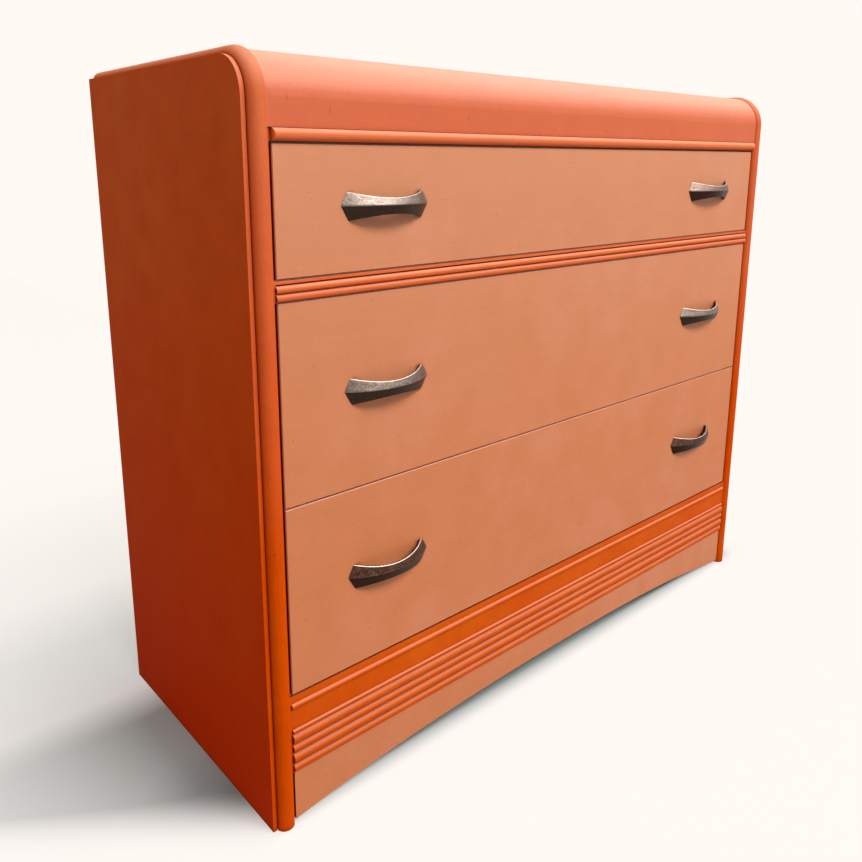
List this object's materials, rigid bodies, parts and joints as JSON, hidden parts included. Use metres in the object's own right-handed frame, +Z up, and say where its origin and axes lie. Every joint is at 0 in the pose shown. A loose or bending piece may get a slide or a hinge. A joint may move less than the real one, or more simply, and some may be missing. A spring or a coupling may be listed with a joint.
{
  "type": "chest of drawers",
  "caption": "Low painted chest of long drawers with a top that curves down over the front, reeded mouldings, an arched apron and folded bow handles.",
  "frame": {"origin": "on the floor, under the middle of the whole outline, handles included", "axes": "+X to the right as one faces the drawers, +Y to the back, +Z up"},
  "size_m": [0.914, 0.378, 0.789],
  "materials": {
    "carcass_paint": "eggshell furniture paint, brushed, burnt orange",
    "drawer_paint": "eggshell furniture paint, brushed, pale terracotta",
    "raw_wood": "planed, unfinished",
    "plywood": "thin plywood, unfinished",
    "handle_metal": "aged dark bronze, rubbed light on the edges",
    "steel": "bright screw"
  },
  "bodies": {
    "carcass": {"side_left": "carcass_paint", "side_right": "carcass_paint", "edge_moulding_left": "carcass_paint", "edge_moulding_right": "carcass_paint", "waterfall_top": "carcass_paint", "top_bead": "carcass_paint", "top_front_rail": "raw_wood", "top_cleat_left": "raw_wood", "top_cleat_right": "raw_wood", "top_back_rail": "raw_wood", "divider_rail": "raw_wood", "divider_moulding": "carcass_paint", "lower_rail": "raw_wood", "frieze_moulding": "carcass_paint", "reeded_moulding": "carcass_paint", "apron": "drawer_paint", "apron_blocks": "raw_wood", "corner_block_left": "raw_wood", "corner_block_right": "raw_wood", "back_panel": "plywood", "bottom_back_rail": "raw_wood", "top_runner_left": "raw_wood", "top_runner_right": "raw_wood", "middle_runner_left": "raw_wood", "middle_runner_right": "raw_wood", "low_runner_left": "raw_wood", "low_runner_right": "raw_wood", "runner_screws_left": "steel", "runner_screws_right": "steel"},
    "top_drawer": {"top_drawer_front": "drawer_paint", "top_drawer_side_left": "raw_wood", "top_drawer_side_right": "raw_wood", "top_drawer_back": "raw_wood", "top_drawer_bottom": "plywood", "top_drawer_bearer": "raw_wood", "top_handle_left": "handle_metal", "top_handle_right": "handle_metal", "top_handle_screws": "steel"},
    "middle_drawer": {"middle_drawer_front": "drawer_paint", "middle_drawer_side_left": "raw_wood", "middle_drawer_side_right": "raw_wood", "middle_drawer_back": "raw_wood", "middle_drawer_bottom": "plywood", "middle_drawer_bearer": "raw_wood", "middle_handle_left": "handle_metal", "middle_handle_right": "handle_metal", "middle_handle_screws": "steel"},
    "low_drawer": {"low_drawer_front": "drawer_paint", "low_drawer_side_left": "raw_wood", "low_drawer_side_right": "raw_wood", "low_drawer_back": "raw_wood", "low_drawer_bottom": "plywood", "low_drawer_bearer": "raw_wood", "low_handle_left": "handle_metal", "low_handle_right": "handle_metal", "low_handle_screws": "steel"}
  },
  "joints": [
    {"name": "top_drawer_slide", "type": "slide", "parent": "carcass", "child": "top_drawer", "axis": [0, -1, 0], "range_m": [0, 0.25]},
    {"name": "middle_drawer_slide", "type": "slide", "parent": "carcass", "child": "middle_drawer", "axis": [0, -1, 0], "range_m": [0, 0.25]},
    {"name": "low_drawer_slide", "type": "slide", "parent": "carcass", "child": "low_drawer", "axis": [0, -1, 0], "range_m": [0, 0.25]}
  ]
}
